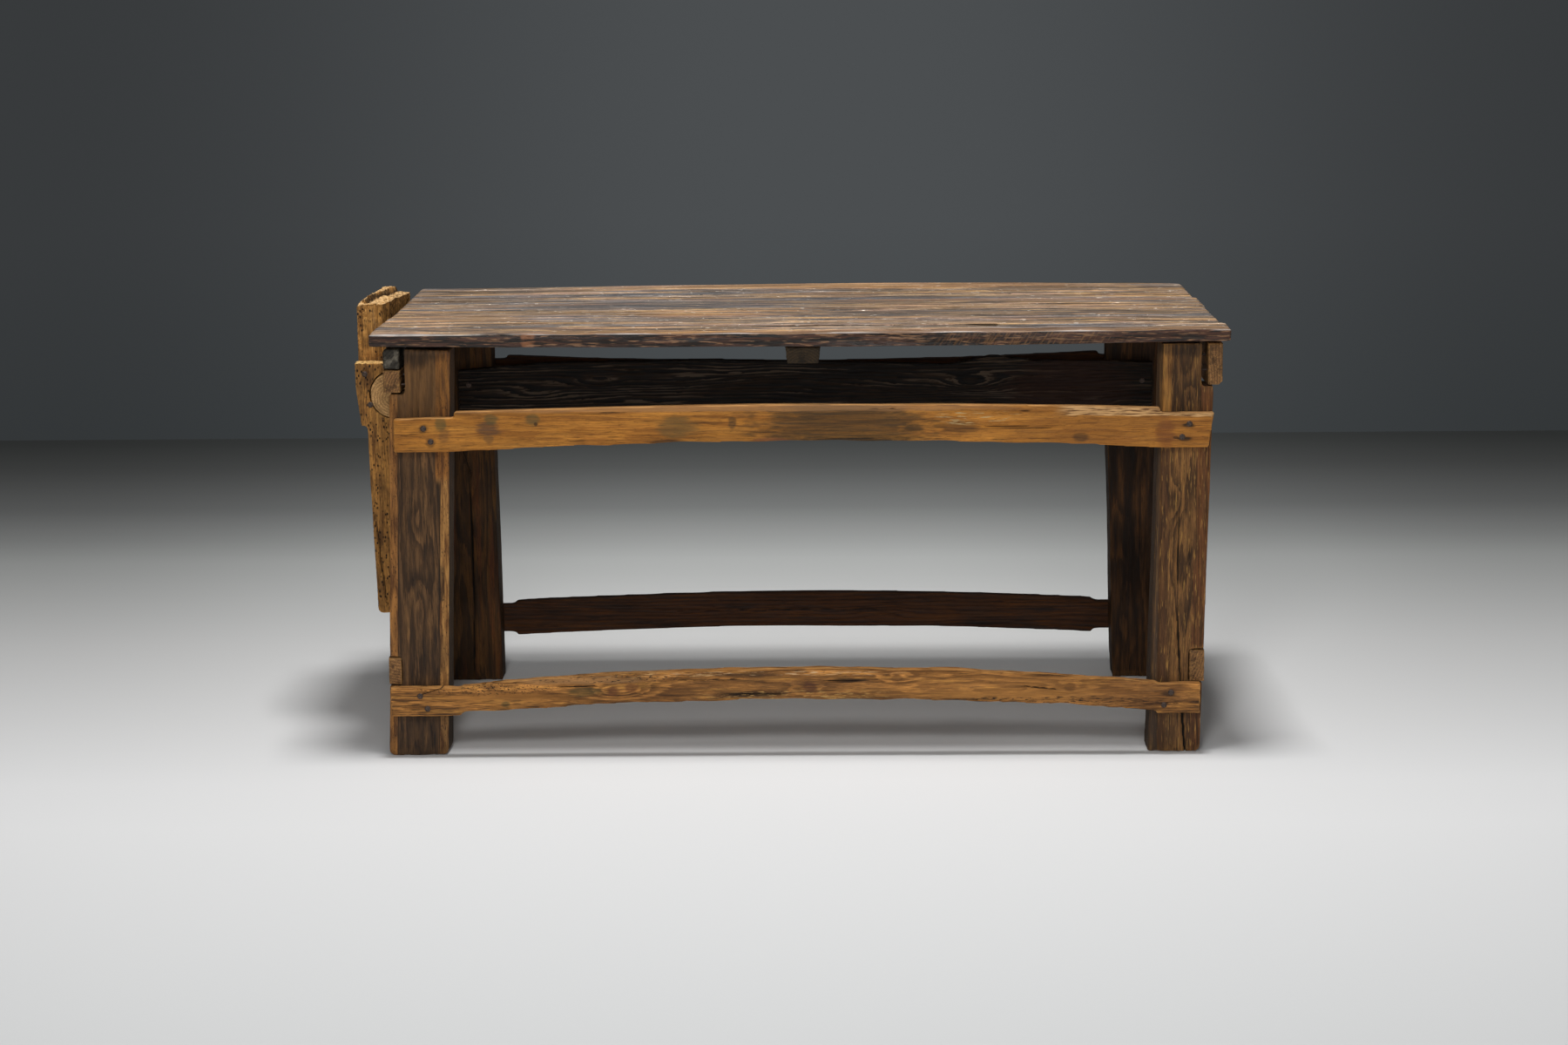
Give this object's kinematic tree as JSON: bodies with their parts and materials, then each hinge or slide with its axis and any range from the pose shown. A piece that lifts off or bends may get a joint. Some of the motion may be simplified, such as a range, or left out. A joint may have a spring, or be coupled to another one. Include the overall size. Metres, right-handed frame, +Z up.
{
  "type": "workbench",
  "caption": "Old joiner's workbench: plank top on hewn legs with nailed rails and a hooked lever vise hanging at its left end.",
  "frame": {"origin": "on the floor, under the middle of the whole part's box, the vise at rest", "axes": "+X along the bench to the right, +Y from the front to the back, +Z up"},
  "size_m": [1.635, 0.7032, 0.826],
  "materials": {
    "top_wood": "rough, weathered, unfinished",
    "batten_wood": "rough, weathered, unfinished",
    "leg_wood": "rough, weathered, unfinished",
    "back_wood": "rough, weathered, unfinished",
    "rail_wood": "rough, weathered, unfinished",
    "board_wood": "rough, weathered, unfinished",
    "end_rail_wood": "rough, weathered, unfinished",
    "cap_wood": "rough, weathered, unfinished",
    "bar_wood": "rough, weathered, unfinished",
    "vise_wood": "rough, weathered, unfinished",
    "nail_iron": "rusty, matt"
  },
  "bodies": {
    "bench": {"top_plank_front": "top_wood", "top_plank_mid_front": "top_wood", "top_plank_mid_back": "top_wood", "top_plank_back": "top_wood", "centre_batten": "batten_wood", "front_left_leg": "leg_wood", "front_right_leg": "leg_wood", "back_left_leg": "back_wood", "back_right_leg": "back_wood", "front_upper_rail": "rail_wood", "front_lower_rail": "rail_wood", "back_upper_rail": "back_wood", "back_lower_rail": "back_wood", "wide_back_board": "board_wood", "left_upper_end_rail": "end_rail_wood", "left_upper_end_rail_cap": "cap_wood", "right_upper_end_rail": "end_rail_wood", "left_lower_end_rail": "end_rail_wood", "right_lower_end_rail": "end_rail_wood", "fulcrum_bar": "bar_wood", "fulcrum_bar_pegs": "bar_wood", "front_upper_rail_nails": "nail_iron", "front_lower_rail_nails": "nail_iron", "back_upper_rail_nails": "nail_iron", "back_lower_rail_nails": "nail_iron", "wide_back_board_nails": "nail_iron", "left_upper_end_rail_nails": "nail_iron", "right_upper_end_rail_nails": "nail_iron", "left_lower_end_rail_nails": "nail_iron", "right_lower_end_rail_nails": "nail_iron"},
    "vise_chop": {"vise_jaw": "vise_wood", "vise_front_arm": "vise_wood", "vise_rear_arm": "vise_wood", "vise_front_arm_nails": "nail_iron", "vise_rear_arm_nails": "nail_iron"}
  },
  "joints": [
    {"name": "chop_swing", "type": "hinge", "parent": "bench", "child": "vise_chop", "pos_m": [-0.7435, 0.079, 0.65], "axis": [0, 1, 0], "range_deg": [-22, 0.8]}
  ]
}
